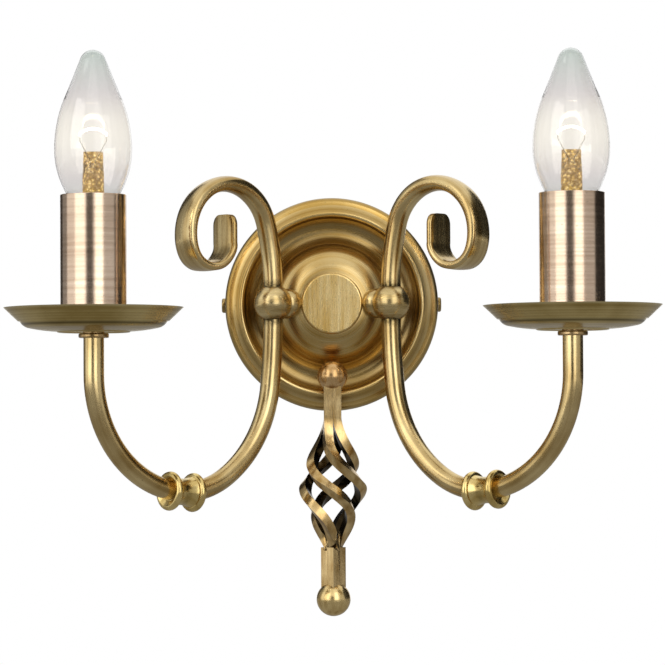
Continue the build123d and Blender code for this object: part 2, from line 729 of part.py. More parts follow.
for side, sign in SIDES:
    lamp_foot = candle_plane[side].origin + Vector(0, 0, pan_floor + socket_floor + contact_height)
    profile = Plane(origin=lamp_foot, x_dir=(1, 0, 0), z_dir=(0, -1, 0))
    spin = candle_axis[side]

    with BuildPart() as bulb_tip:
        with BuildSketch(profile):
            with BuildLine():
                button = TangentArc((0, 0), (tip_diameter / 2, tip_height), tangent=(1, 0))
                Polyline(button @ 1, (0, tip_height), button @ 0)
            make_face()
        revolve(axis=spin)
    bulb_tip.part.label = f"bulb_tip_{side}"
    export_step(bulb_tip.part, f"parts/bulb_tip_{side}.step")

    with BuildPart() as bulb_insulator:
        with BuildSketch(profile):
            with BuildLine():
                Polyline(
                    (0, tip_height),
                    (insulator_diameter / 2, tip_height),
                    (cap_radius - cap_chamfer, cap_bottom),
                    (0, cap_bottom),
                    close=True,
                )
            make_face()
        revolve(axis=spin)
    bulb_insulator.part.label = f"bulb_insulator_{side}"
    export_step(bulb_insulator.part, f"parts/bulb_insulator_{side}.step")

    with BuildPart() as bulb_cap:
        with BuildSketch(Plane(lamp_foot).offset(cap_bottom)):
            Circle(cap_radius)
        extrude(amount=cap_top - cap_bottom)
        chamfer(bulb_cap.edges().group_by(Axis.Z)[0], cap_chamfer)
        offset(amount=-cap_sheet, openings=bulb_cap.faces().sort_by(Axis.Z)[-1])
    bulb_cap.part.label = f"bulb_cap_{side}"
    export_step(bulb_cap.part, f"parts/bulb_cap_{side}.step")

    with BuildPart() as bulb_glass:
        for skin, skin_mode in ((0, Mode.ADD), (glass_sheet, Mode.SUBTRACT)):
            with BuildSketch(profile):
                with BuildLine():
                    point = TangentArc(
                        (0, glass_height - skin),
                        (glass_point_diameter / 2 - skin / 2, glass_point_height - skin),
                        tangent=(1, 0),
                    )
                    shoulder = TangentArc(
                        point @ 1,
                        (glass_shoulder_diameter / 2 - skin, glass_shoulder_height),
                        tangent=point % 1,
                    )
                    belly = TangentArc((glass_radius - skin, glass_belly_height), shoulder @ 1, tangent=(0, 1))
                    swell = TangentArc(
                        belly @ 0, (glass_waist_diameter / 2 - skin, glass_waist_height), tangent=(0, -1)
                    )
                    flare = TangentArc(swell @ 1, (glass_neck_radius - skin, cap_top), tangent=swell % 1)
                    Polyline(
                        flare @ 1,
                        (glass_neck_radius - skin, cap_top - glass_neck_length),
                        (0, cap_top - glass_neck_length),
                        point @ 0,
                    )
                make_face()
            revolve(axis=spin, mode=skin_mode)
    bulb_glass.part.label = f"bulb_glass_{side}"
    export_step(bulb_glass.part, f"parts/bulb_glass_{side}.step")

    with BuildPart() as bulb_mount:
        with BuildSketch(profile):
            with BuildLine():
                seal = Line(
                    (0, cap_top - glass_neck_length),
                    (glass_neck_radius - glass_sheet - seam_gap, cap_top - glass_neck_length),
                )
                bell = TangentArc(
                    (mount_rod_diameter / 2, cap_top + mount_flare_height), seal @ 1, tangent=(0, -1)
                )
                Polyline(bell @ 0, (mount_rod_diameter / 2, mount_top), (0, mount_top), seal @ 0)
            make_face()
        revolve(axis=spin)
    bulb_mount.part.label = f"bulb_mount_{side}"
    export_step(bulb_mount.part, f"parts/bulb_mount_{side}.step")

    with BuildPart() as bulb_filament:
        for hand in (-1, 1):
            with BuildLine(profile) as wire:
                FilletPolyline(
                    (hand * wire_root, mount_top),
                    (hand * wire_root, mount_top + wire_rise),
                    (hand * wire_spread, filament_height - wire_rise),
                    (hand * wire_spread, filament_height),
                    radius=wire_bend,
                )
            with BuildSketch(Plane(origin=wire.line @ 0, z_dir=(0, 0, 1))):
                Circle(wire_diameter / 2)
            sweep(path=wire.line)
        with BuildLine(profile) as coil:
            ThreePointArc(
                (-wire_spread, filament_height),
                (0, filament_height + filament_arch),
                (wire_spread, filament_height),
            )
        with BuildSketch(Plane(origin=coil.line @ 0, z_dir=coil.line % 0)):
            Circle(filament_diameter / 2)
        sweep(path=coil.line)
    bulb_filament.part.label = f"bulb_filament_{side}"
    export_step(bulb_filament.part, f"parts/bulb_filament_{side}.step")

# ---- leads -------------------------------------------------------------------------------------------
# One twin lead for each arm: from the terminal block into the hollow shank, down through the ball,
# along the arm's centre line and up through the nipple to the centre contact.

for side, sign in SIDES:
    port = Vector(sign * port_x, -strap_sheet - block_depth + port_depth, 0)
    turn_in = lead_root_bend * tan(radians(90 - arm_angle) / 2)
    meeting = Vector(sign * port_x, -arm_root_depth - port_x * tan(radians(arm_angle)) + turn_in, 0)
    ball_turn = arm_plane[side].from_local_coords((ball_reach - lead_ball_bend, 0, 0))
    with BuildLine():
        from_port = Line(port, meeting)
        to_shank = JernArc(meeting, (0, -1), lead_root_bend, sign * (90 - arm_angle))
        in_shank = Line(to_shank @ 1, ball_turn)
    with BuildLine(arm_plane[side]):
        in_ball = JernArc(ball_turn, in_shank % 1, lead_ball_bend, -90)
        to_tube = Line(in_ball @ 1, (ball_reach, -tube_stop))
    with BuildLine():
        to_contact = Line(
            candle_plane[side].origin, candle_plane[side].origin + Vector(0, 0, pan_floor + socket_floor)
        )
    lead_route = Wire(
        [from_port, to_shank, in_shank, in_ball, to_tube, *arm_route[side].edges(), to_contact]
    )
    with BuildPart() as lead:
        with BuildSketch(Plane(origin=port, z_dir=(0, -1, 0))):
            Circle(lead_radius)
        sweep(path=lead_route)
    lead.part.label = f"lead_{side}"
    export_step(lead.part, f"parts/lead_{side}.step")

# ---- basket finial -----------------------------------------------------------------------------------
# A stem on the plate's recess carries the upper ball. Four square bars start in it as a tight bundle,
# open into a left-handed basket and close again in the lower ball, three eighths and a quarter of a
# turn further round.

top_ball_radius = top_ball_diameter / 2
bottom_ball_radius = bottom_ball_diameter / 2
finial_shank_radius = finial_shank_diameter / 2
bundle_side = 2 * bar_side + bar_gap
bundle_ring = (bar_side + bar_gap) / sqrt(2)
basket_top = finial_height - top_bar_seat - top_bundle_length
basket_foot = basket_top - basket_length
bottom_ball_height = basket_foot - bottom_bundle_length - bottom_bar_seat
top_ball_centre = Vector(0, -finial_depth, finial_height)
bottom_ball_centre = Vector(0, -finial_depth, bottom_ball_height)
washer_back = bowl_depth - plate_sheet - finial_washer_sheet

with BuildPart() as finial_stem:
    with BuildSketch(Plane.XZ.offset(washer_back)):
        with Locations((0, finial_height)):
            Circle(finial_foot_diameter / 2)
    extrude(amount=finial_foot_depth - washer_back)
    fillet(finial_stem.edges().sort_by(Axis.Y)[0], finial_foot_round)
    with BuildSketch(Plane.XZ.offset(washer_back)):
        with Locations((0, finial_height)):
            Circle(finial_neck_diameter / 2)
    extrude(amount=finial_depth - washer_back)
    add(plate_bulk.part, mode=Mode.SUBTRACT)
    with Locations(top_ball_centre):
        Sphere(top_ball_radius, mode=Mode.SUBTRACT)
    with BuildSketch(Plane.XZ.offset(washer_back - finial_nut_height - finial_shank_tail)):
        with Locations((0, finial_height)):
            Circle(finial_shank_radius)
    extrude(amount=finial_depth - washer_back + finial_nut_height + finial_shank_tail)
finial_stem.part.label = "finial_stem"
export_step(finial_stem.part, "parts/finial_stem.step")

with BuildPart() as finial_washer:
    with BuildSketch(Plane.XZ.offset(washer_back)):
        with Locations((0, finial_height)):
            Circle(finial_washer_diameter / 2)
            Circle(finial_shank_radius + screw_gap, mode=Mode.SUBTRACT)
    extrude(amount=finial_depth - washer_back)
    add(plate_inside.part, mode=Mode.INTERSECT)
finial_washer.part.label = "finial_washer"
export_step(finial_washer.part, "parts/finial_washer.step")

with BuildPart() as finial_nut:
    with BuildSketch(Plane.XZ.offset(washer_back)):
        with Locations((0, finial_height)):
            RegularPolygon(finial_nut_across_flats / 2, 6, major_radius=False)
            Circle(finial_shank_radius + seam_gap, mode=Mode.SUBTRACT)
    extrude(amount=-finial_nut_height)
finial_nut.part.label = "finial_nut"
export_step(finial_nut.part, "parts/finial_nut.step")

with BuildPart() as finial_ball_top:
    with Locations(top_ball_centre):
        Sphere(top_ball_radius)
    with BuildSketch(Plane(top_ball_centre).offset(-top_bar_seat)):
        Rectangle(bundle_side + 2 * seam_gap, bundle_side + 2 * seam_gap)
    extrude(amount=-top_ball_radius, mode=Mode.SUBTRACT)
    with BuildSketch(Plane(origin=top_ball_centre, z_dir=(0, 1, 0))):
        Circle(finial_shank_radius + seam_gap)
    extrude(amount=top_ball_radius, mode=Mode.SUBTRACT)
finial_ball_top.part.label = "finial_ball_top"
export_step(finial_ball_top.part, "parts/finial_ball_top.step")

with BuildPart() as finial_ball_bottom:
    with Locations(bottom_ball_centre):
        Sphere(bottom_ball_radius)
    with BuildSketch(Plane(bottom_ball_centre).offset(bottom_bar_seat)):
        Rectangle(bundle_side + 2 * seam_gap, bundle_side + 2 * seam_gap, rotation=basket_turn)
    extrude(amount=bottom_ball_radius, mode=Mode.SUBTRACT)
finial_ball_bottom.part.label = "finial_ball_bottom"
export_step(finial_ball_bottom.part, "parts/finial_ball_bottom.step")

for bar in range(4):
    bar_points = []
    bar_outward = []
    for station in range(basket_stations):
        share = station / (basket_stations - 1)
        turned = basket_turn * (share - basket_lag * sin(2 * pi * share) / (2 * pi))
        reach = bundle_ring + basket_swell * sin(pi * share**basket_skew) ** basket_fullness
        outward = Vector(0, -1, 0).rotate(Axis.Z, 45 + 90 * bar + turned)
        bar_outward.append(outward)
        bar_points.append(Vector(0, -finial_depth, basket_top - share * basket_length) + outward * reach)
    with BuildLine():
        bar_route = Spline(*bar_points, tangents=((0, 0, -1), (0, 0, -1)))

    with BuildPart() as twist_bar:
        for point, outward in zip(bar_points, bar_outward):
            along = bar_route.tangent_at(point)
            across = outward - along * outward.dot(along)
            with BuildSketch(Plane(origin=point, x_dir=across, z_dir=along)):
                Rectangle(bar_side, bar_side, rotation=45)
        loft()
        extrude(twist_bar.faces().sort_by(Axis.Z)[-1], amount=top_bundle_length)
        extrude(twist_bar.faces().sort_by(Axis.Z)[0], amount=bottom_bundle_length)
    twist_bar.part.label = f"twist_bar_{bar + 1}"
    export_step(twist_bar.part, f"parts/twist_bar_{bar + 1}.step")
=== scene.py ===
import bpy
import math
from mathutils import Euler, Matrix, Vector


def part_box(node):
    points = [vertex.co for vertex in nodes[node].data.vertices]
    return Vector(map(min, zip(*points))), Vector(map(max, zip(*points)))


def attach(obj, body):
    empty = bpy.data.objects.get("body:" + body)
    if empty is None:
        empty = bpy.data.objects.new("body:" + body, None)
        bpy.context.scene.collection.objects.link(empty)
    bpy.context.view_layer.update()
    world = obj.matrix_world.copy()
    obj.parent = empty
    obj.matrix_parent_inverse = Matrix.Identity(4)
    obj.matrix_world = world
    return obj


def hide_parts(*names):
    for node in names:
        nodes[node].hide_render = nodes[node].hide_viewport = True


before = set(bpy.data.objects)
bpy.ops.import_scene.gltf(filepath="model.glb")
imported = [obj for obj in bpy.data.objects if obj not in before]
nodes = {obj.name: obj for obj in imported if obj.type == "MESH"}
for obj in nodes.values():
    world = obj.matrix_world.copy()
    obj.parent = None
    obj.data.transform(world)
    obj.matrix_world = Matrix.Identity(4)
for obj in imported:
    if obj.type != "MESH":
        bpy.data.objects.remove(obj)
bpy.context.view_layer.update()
bpy.ops.object.select_all(action="DESELECT")

SIDES = (("left", -1), ("right", 1))
MM = 0.001

# ---- wall plate ----------------------------------------------------------------------------------------
# One spun brass disc: rolled ring, bead, deep recess and raised hub. It is antiqued brown, then rubbed back
# on the bead, the ring and the hub. The lathe leaves circles on it, and the hub is brushed up and down.


def shade(code):
    """A paint code in hex as the linear colour that a shader takes."""
    channels = [int(code[i : i + 2], 16) / 255 for i in (0, 2, 4)]
    return tuple(c / 12.92 if c <= 0.04045 else ((c + 0.055) / 1.055) ** 2.4 for c in channels) + (1,)


def add(tree, kind, settings=None, **values):
    """Puts a node in a tree, with its settings and the values of its free sockets."""
    made = tree.nodes.new(kind)
    for name, value in (settings or {}).items():
        setattr(made, name, value)
    for name, value in values.items():
        made.inputs[name.replace("_", " ")].default_value = value
    return made


def fill(tree, sockets, terms):
    """Links or sets each socket in turn, by whether its term is another socket or a plain value."""
    for socket, term in zip(sockets, terms):
        if isinstance(term, bpy.types.NodeSocket):
            tree.links.new(term, socket)
        else:
            socket.default_value = term


def work_out(tree, operation, *terms):
    """A Math node over sockets and numbers; gives its result."""
    made = add(tree, "ShaderNodeMath", {"operation": operation})
    fill(tree, made.inputs, terms)
    return made.outputs[0]


def work_out_vector(tree, operation, *terms):
    """A Vector Math node; gives its vector, or its number where the operation makes one."""
    made = add(tree, "ShaderNodeVectorMath", {"operation": operation})
    fill(tree, made.inputs, terms)
    return made.outputs["Value" if operation in ("LENGTH", "DOT_PRODUCT", "DISTANCE") else "Vector"]


def split(tree, vector, fold=False):
    """The x, y and z of a vector. Folded, x is its distance from the middle, so both arms are alike."""
    made = add(tree, "ShaderNodeSeparateXYZ")
    tree.links.new(vector, made.inputs[0])
    x, y, z = made.outputs
    return (work_out(tree, "ABSOLUTE", x) if fold else x), y, z


def join(tree, *terms):
    """Three values as one vector."""
    made = add(tree, "ShaderNodeCombineXYZ")
    fill(tree, made.inputs, terms)
    return made.outputs[0]


def rescale(tree, value, start, end, low=0.0, high=1.0):
    """A value's range from start to end as low to high, held at the ends."""
    made = add(tree, "ShaderNodeMapRange")
    fill(tree, made.inputs, (value, start, end, low, high))
    return made.outputs[0]


def ramp(tree, value, *stops):
    """A colour ramp over a value; each stop is its place and a linear colour."""
    made = add(tree, "ShaderNodeValToRGB")
    band = made.color_ramp
    for _ in stops[2:]:
        band.elements.new(1)
    for element, (place, colour) in zip(band.elements, stops):
        element.position = place
        element.color = colour
    tree.links.new(value, made.inputs["Fac"])
    return made.outputs["Color"]


def lay_over(tree, share, under, over):
    """Mixes two colours by a share, where 0 is all under."""
    made = add(tree, "ShaderNodeMix", {"data_type": "RGBA"})
    fill(tree, (made.inputs["Factor"], made.inputs[6], made.inputs[7]), (share, under, over))
    return made.outputs[2]


def effect(name, takes, gives):
    """A shader group for an effect that several finishes share, with its named sockets."""
    tree = bpy.data.node_groups.new(name, "ShaderNodeTree")
    for label, kind, value in takes:
        socket = tree.interface.new_socket(label, in_out="INPUT", socket_type=kind)
        if value is not None:
            socket.default_value = value
    for label in gives:
        tree.interface.new_socket(label, in_out="OUTPUT", socket_type="NodeSocketFloat")
    return tree, tree.nodes.new("NodeGroupInput").outputs, tree.nodes.new("NodeGroupOutput").inputs


def noise(tree, vector, scale, detail, roughness=0.5):
    """A noise texture over a vector; gives its value."""
    made = add(tree, "ShaderNodeTexNoise")
    sockets = [made.inputs[name] for name in ("Vector", "Scale", "Detail", "Roughness")]
    fill(tree, sockets, (vector, scale, detail, roughness))
    return made.outputs["Fac"]


# Brushing: hair lines across the first axis of the vector it is given, and broader streaks along them
brushing, takes, gives = effect(
    "brushing",
    [("Vector", "NodeSocketVector", None), ("Fineness", "NodeSocketFloat", 2600.0)],
    ["Hairlines", "Streaks"],
)
brushing.links.new(noise(brushing, takes["Vector"], takes["Fineness"], 3.0, 0.65), gives["Hairlines"])
streak_size = work_out(brushing, "MULTIPLY", takes["Fineness"], 0.2)
brushing.links.new(noise(brushing, takes["Vector"], streak_size, 2.0), gives["Streaks"])

# Lacquer: slow clouds where the antiquing took more or less, and small dark specks
lacquer, takes, gives = effect(
    "lacquer",
    [("Vector", "NodeSocketVector", None), ("Size", "NodeSocketFloat", 50.0)],
    ["Clouds", "Specks"],
)
lacquer.links.new(noise(lacquer, takes["Vector"], takes["Size"], 3.0), gives["Clouds"])
specks = noise(lacquer, takes["Vector"], 1100.0, 1.0)
lacquer.links.new(rescale(lacquer, specks, 0.70, 0.78), gives["Specks"])


class Antiqued:
    """A brushed, antiqued metal: a dark and a light tone, parted by its brushing and its lacquer."""

    def __init__(self, name, dark, light, roughness, fineness=2400.0, relief=0.08, clouds=50.0):
        self.material = bpy.data.materials.new(name)
        self.material.use_nodes = True
        self.tree = tree = self.material.node_tree
        self.shader = tree.nodes["Principled BSDF"]
        self.shader.inputs["Metallic"].default_value = 1.0
        self.place = add(tree, "ShaderNodeTexCoord").outputs["Object"]
        self.lines = add(tree, "ShaderNodeGroup", {"node_tree": brushing}, Fineness=fineness)
        self.lay_lines(self.place)
        film = add(tree, "ShaderNodeGroup", {"node_tree": lacquer}, Size=clouds)
        tree.links.new(self.place, film.inputs["Vector"])
        both = work_out(tree, "ADD", self.lines.outputs["Streaks"], film.outputs["Clouds"])
        half = work_out(tree, "MULTIPLY", both, 0.5)
        self.tone = ramp(tree, half, (0.36, shade(dark)), (0.64, shade(light)))
        self.stain(work_out(tree, "MULTIPLY", film.outputs["Specks"], 0.35), "2A2010")
        hair = self.lines.outputs["Hairlines"]
        gloss = rescale(tree, hair, 0.3, 0.7, roughness - 0.04, roughness + 0.06)
        tree.links.new(gloss, self.shader.inputs["Roughness"])
        grooves = add(tree, "ShaderNodeBump", Strength=relief, Distance=0.15 * MM)
        tree.links.new(hair, grooves.inputs["Height"])
        tree.links.new(grooves.outputs["Normal"], self.shader.inputs["Normal"])

    def lay_lines(self, vector):
        """Lays the brushing across the first axis of a vector."""
        self.tree.links.new(vector, self.lines.inputs["Vector"])

    def brush(self, *stretch):
        """Brushes along an axis: the smaller its share, the longer the lines that way."""
        self.lay_lines(work_out_vector(self.tree, "MULTIPLY", self.place, stretch))

    def stain(self, share, code):
        """Lays a further colour over the metal by a share, such as dirt in a groove."""
        self.tone = lay_over(self.tree, share, self.tone, shade(code))
        self.tree.links.new(self.tone, self.shader.inputs["Base Color"])

    def on(self, *names):
        """Finishes carried-over nodes with this metal."""
        finish(self.material, *names)


def finish(material, *names):
    """Gives carried-over nodes their finish."""
    for name in names:
        nodes[name].data.materials.clear()
        nodes[name].data.materials.append(material)


plate_radius = 50.8 * MM
hub_radius = 14.2 * MM
plate_brass = Antiqued("plate_brass", "D6AE5E", "FBE2A6", 0.27, 2300.0, 0.10, 30.0)
tree = plate_brass.tree
x, y, z = split(tree, plate_brass.place)
radius = work_out_vector(tree, "LENGTH", join(tree, x, 0.0, z))
laid = add(tree, "ShaderNodeMix", {"data_type": "VECTOR"})
on_hub = work_out(tree, "LESS_THAN", radius, hub_radius)
upright = join(tree, x, work_out(tree, "MULTIPLY", z, 0.06), 0.0)
round_and_round = join(tree, radius, y, 0.0)
fill(tree, (laid.inputs["Factor"], laid.inputs[4], laid.inputs[5]), (on_hub, round_and_round, upright))
plate_brass.lay_lines(laid.outputs[1])
antique_left = (
    (0.000, 0.05),
    (0.270, 0.05),
    (0.300, 0.50),
    (0.420, 0.30),
    (0.575, 0.20),
    (0.660, 0.62),
    (0.790, 0.66),
    (0.835, 0.08),
    (0.885, 0.50),
    (0.960, 0.16),
    (0.995, 0.60),
)
across = work_out(tree, "DIVIDE", radius, plate_radius)
plate_brass.stain(ramp(tree, across, *((r, (left, left, left, 1)) for r, left in antique_left)), "5C4219")
plate_brass.on("backplate")

# ---- strap, connector and fixings ------------------------------------------------------------------------
# A zinc plated steel strap is screwed to the wall and takes the plate's two side screws in its bent ears.
# It carries the earth screw and a moulded connector block. Nuts and washers hold the stems from behind.

zinc_steel = Antiqued("zinc_steel", "9FA3A3", "C6CAC8", 0.34, 900.0, 0.05, 90.0)
zinc_steel.brush(0.15, 1, 1)
zinc_steel.on("wall_bracket", "finial_washer", "finial_nut")
screw_brass = Antiqued("screw_brass", "8C7344", "BFA56C", 0.28, 1400.0, 0.08, 120.0)
screw_brass.brush(1, 0.2, 0.2)
screw_brass.on("earth_screw")
for side, _ in SIDES:
    zinc_steel.on(f"stem_nut_{side}", f"stem_washer_{side}", f"holder_nipple_{side}")
    screw_brass.on(f"side_screw_{side}")


def moulded(name, code, roughness):
    """Moulded plastic or fired glass: one colour, with a fine grain in its tone and gloss."""
    made = bpy.data.materials.new(name)
    made.use_nodes = True
    tree = made.node_tree
    shader = tree.nodes["Principled BSDF"]
    grain = noise(tree, add(tree, "ShaderNodeTexCoord").outputs["Object"], 1600.0, 3.0)
    full = shade(code)
    worn = tuple(0.86 * channel for channel in full[:3]) + (1,)
    tree.links.new(ramp(tree, grain, (0.35, worn), (0.65, full)), shader.inputs["Base Color"])
    gloss = rescale(tree, grain, 0.0, 1.0, roughness - 0.08, roughness + 0.08)
    tree.links.new(gloss, shader.inputs["Roughness"])
    return made


finish(moulded("white_plastic", "E2E0D8", 0.42), "terminal_block")

# ---- arms, ball collars and stems ------------------------------------------------------------------------
# Drawn brass tube, bent cold in one plane and brushed along its length. The turned ball and the double ring
# are brazed on, and old patina stays in the joints where the brush doesn't reach.

# Patina: 1 inside a joint, fading out with the distance from its centre, and broken up by scratches
patina, takes, gives = effect(
    "patina",
    [
        ("Vector", "NodeSocketVector", None),
        ("Centre", "NodeSocketVector", (0, 0, 0)),
        ("Near", "NodeSocketFloat", 0.008),
        ("Far", "NodeSocketFloat", 0.011),
    ],
    ["Mask"],
)
folded = join(patina, *split(patina, takes["Vector"], fold=True))
away = work_out_vector(patina, "DISTANCE", folded, takes["Centre"])
fading = rescale(patina, away, takes["Near"], takes["Far"], 1.0, 0.0)
scratched = rescale(patina, noise(patina, takes["Vector"], 700.0, 3.0), 0.35, 0.6, 0.45, 1.0)
patina.links.new(work_out(patina, "MULTIPLY", fading, scratched), gives["Mask"])


def darken_joint(metal, centre, near, far, code="3E341B"):
    """Leaves patina round one joint on each arm; the sizes are in millimetres."""
    spot = add(metal.tree, "ShaderNodeGroup", {"node_tree": patina}, Near=near * MM, Far=far * MM)
    spot.inputs["Centre"].default_value = [c * MM for c in centre]
    metal.tree.links.new(metal.place, spot.inputs["Vector"])
    metal.stain(spot.outputs["Mask"], code)


arm_angle = math.radians(40)
ball_centre = (27.8, -34.33, 0)
ring_centre = (70.0, -69.8, -87.6)


def brush_along_arm(metal):
    """Brushes a tube that is bent in one plane: each line keeps its distance from that plane."""
    tree = metal.tree
    x, y, z = split(tree, metal.place, fold=True)
    folded = join(tree, x, y, z)
    outward = work_out_vector(tree, "DOT_PRODUCT", folded, (math.cos(arm_angle), -math.sin(arm_angle), 0))
    sideways = work_out_vector(tree, "DOT_PRODUCT", folded, (math.sin(arm_angle), math.cos(arm_angle), 0))
    slowly = [work_out(tree, "MULTIPLY", value, 0.035) for value in (outward, z)]
    metal.lay_lines(join(tree, sideways, *slowly))


arm_brass = Antiqued("arm_brass", "AC8D54", "EAD29A", 0.22, 2600.0, 0.07, 45.0)
brush_along_arm(arm_brass)
darken_joint(arm_brass, ball_centre, 9.2, 12.5)
darken_joint(arm_brass, ring_centre, 6.5, 9.5)
turned_brass = Antiqued("turned_brass", "A68B54", "E0C892", 0.25, 2000.0, 0.10, 80.0)
turned_brass.brush(0.12, 0.12, 1)
rise = work_out(turned_brass.tree, "ABSOLUTE", split(turned_brass.tree, turned_brass.place)[2])
turned_brass.stain(rescale(turned_brass.tree, rise, 5.5 * MM, 8.5 * MM, 0.0, 0.7), "43391F")
ring_brass = Antiqued("ring_brass", "BC9C54", "F4DC98", 0.22, 2200.0, 0.08, 80.0)
brush_along_arm(ring_brass)
darken_joint(ring_brass, ring_centre, 4.9, 6.6)
for side, _ in SIDES:
    arm_brass.on(f"arm_{side}")
    turned_brass.on(f"ball_collar_{side}", f"arm_stem_{side}")
    ring_brass.on(f"arm_collar_{side}")

# ---- scrolls -----------------------------------------------------------------------------------------------
# The same tube above the ball, hammered out to a ribbon and rolled over. Its end is cut round at both
# corners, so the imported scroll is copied, its end comes off, and the ribbon is drawn on to a round one.


def copy_of(name, new_name):
    """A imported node's mesh as a free piece of its own, with its loose triangles merged."""
    piece = bpy.data.objects.new(new_name, nodes[name].data.copy())
    piece.data.name = new_name
    piece.data.materials.clear()
    bpy.context.scene.collection.objects.link(piece)
    take(piece)
    bpy.ops.object.mode_set(mode="EDIT")
    bpy.ops.mesh.select_all(action="SELECT")
    bpy.ops.mesh.remove_doubles(threshold=2e-6)
    bpy.ops.object.mode_set(mode="OBJECT")
    bpy.ops.mesh.customdata_custom_splitnormals_clear()
    return piece


def take(piece):
    """Makes one piece the only selected one."""
    bpy.ops.object.select_all(action="DESELECT")
    piece.select_set(True)
    bpy.context.view_layer.objects.active = piece


def pick_none(mode):
    """Opens the active piece for picking in code, with nothing picked."""
    bpy.ops.object.mode_set(mode="EDIT")
    bpy.ops.mesh.select_mode(type=mode)
    bpy.ops.mesh.select_all(action="DESELECT")
    bpy.ops.object.mode_set(mode="OBJECT")


ribbon_half_width = 8.1 * MM
tip_foot = Vector((49.637, -52.650, 27.3215)) * MM
tip_length = 13.4 * MM
tip_corner = 5.0 * MM
tip_rounds = 8

for side, sign in SIDES:
    scroll = copy_of(f"scroll_{side}", f"scroll_ribbon_{side}")
    foot = Vector((sign * tip_foot.x, tip_foot.y, tip_foot.z))
    across_ribbon = math.radians(50 if sign > 0 else 130)
    square_up = Matrix.Rotation(-across_ribbon, 4, "Z") @ Matrix.Translation(-foot)
    scroll.data.transform(square_up)
    pick_none("FACE")
    for face in scroll.data.polygons:
        corners = [scroll.data.vertices[v].co for v in face.vertices]
        face.select = all(-0.004 * MM < c.z < tip_length + MM and abs(c.y) < 4 * MM for c in corners)
    bpy.ops.object.mode_set(mode="EDIT")
    bpy.ops.mesh.delete(type="FACE")
    bpy.ops.mesh.select_mode(type="EDGE")
    bpy.ops.mesh.select_all(action="DESELECT")
    bpy.ops.mesh.select_non_manifold(
        extend=False, use_wire=True, use_boundary=True, use_multi_face=False, use_non_contiguous=False
    )
    half_width, height = ribbon_half_width, 0.0
    for step in range(tip_rounds + 1):
        turn = math.pi / 2 * step / tip_rounds
        new_height = tip_length - tip_corner + tip_corner * math.sin(turn)
        new_half_width = ribbon_half_width - tip_corner + tip_corner * math.cos(turn)
        bpy.ops.mesh.extrude_region_move(TRANSFORM_OT_translate={"value": (0, 0, new_height - height)})
        bpy.ops.transform.resize(value=(new_half_width / half_width, 1, 1), center_override=(0, 0, 0))
        half_width, height = new_half_width, new_height
    bpy.ops.mesh.edge_face_add()
    bpy.ops.mesh.select_all(action="SELECT")
    bpy.ops.mesh.quads_convert_to_tris()
    bpy.ops.mesh.normals_make_consistent(inside=False)
    bpy.ops.object.mode_set(mode="OBJECT")
    scroll.data.transform(square_up.inverted())
    bpy.ops.object.shade_smooth_by_angle(angle=math.radians(40))
    scroll.data.materials.append(arm_brass.material)
    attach(scroll, "fixture")
    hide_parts(f"scroll_{side}")

# ---- drip pans and their seats -----------------------------------------------------------------------------
# Spun brass dishes with a flared rim and a step above the bowl. Lacquer stays dark in the step, and the
# edge of the rim is rubbed light. Each pan sits on a small turned seat brazed to the tube.

candle_axis = Vector((107.556, -101.250, 0)) * MM
pan_brass = Antiqued("pan_brass", "A58C50", "DEC88C", 0.24, 2400.0, 0.08, 40.0)
tree = pan_brass.tree
x, y, z = split(tree, pan_brass.place, fold=True)
radius = work_out_vector(tree, "DISTANCE", join(tree, x, y, 0.0), tuple(candle_axis))
pan_brass.lay_lines(join(tree, radius, z, 0.0))
pan_step, pan_rim = -11.6 * MM, -4.0 * MM
from_step = work_out(tree, "ABSOLUTE", work_out(tree, "SUBTRACT", z, pan_step))
pan_brass.stain(rescale(tree, from_step, 0.0, 1.2 * MM, 0.75, 0.0), "3A2F16")
pan_brass.stain(rescale(tree, z, pan_rim - 0.9 * MM, pan_rim - 0.2 * MM, 0.0, 0.5), "D6C9A0")
seat_bronze = Antiqued("seat_bronze", "94794C", "D0B284", 0.24, 2400.0, 0.08, 90.0)
seat_bronze.brush(0.1, 0.1, 1)
for side, _ in SIDES:
    pan_brass.on(f"drip_pan_{side}")
    seat_bronze.on(f"pan_seat_{side}")

# ---- candle sleeves and lampholders ------------------------------------------------------------------------
# The sleeve is drawn copper tube in a warm bronze, brushed round and round on a lathe. The moulded holder
# inside it has a screwed shell and a sprung tongue of brass sheet.

sleeve_bronze = Antiqued("sleeve_bronze", "C2A68C", "E8D0B8", 0.17, 2800.0, 0.10, 25.0)
sleeve_bronze.brush(0.03, 0.03, 1)
contact_brass = Antiqued("contact_brass", "B89A5C", "E0C888", 0.20, 1800.0, 0.05, 90.0)
contact_brass.brush(0.1, 0.1, 1)
holder_black = moulded("holder_black", "201F1E", 0.36)
for side, _ in SIDES:
    sleeve_bronze.on(f"candle_sleeve_{side}")
    contact_brass.on(f"contact_shell_{side}", f"centre_contact_{side}")
    finish(holder_black, f"lampholder_{side}")

# ---- lamps -------------------------------------------------------------------------------------------------
# Clear candle lamps, lit. The blown glass is faintly green away from the filament; beside it a painted warm
# glow, in its colour and its emission, stands in for the filament's light. The nickel cap is thin sheet with
# a round thread rolled in, over a black glass insulator with a solder tip.

filament_height = 73.9 * MM
painted_glow_radius = 42 * MM


def glassy(name, roughness):
    """Clear glass with its emission on for a painted glow of the filament; gives the material, its tree,
    shader and place.
    """
    made = bpy.data.materials.new(name)
    made.use_nodes = True
    tree = made.node_tree
    shader = tree.nodes["Principled BSDF"]
    shader.inputs["Transmission Weight"].default_value = 1.0
    shader.inputs["Roughness"].default_value = roughness
    shader.inputs["IOR"].default_value = 1.45
    shader.inputs["Emission Strength"].default_value = 1.0
    return made, tree, shader, add(tree, "ShaderNodeTexCoord").outputs["Object"]


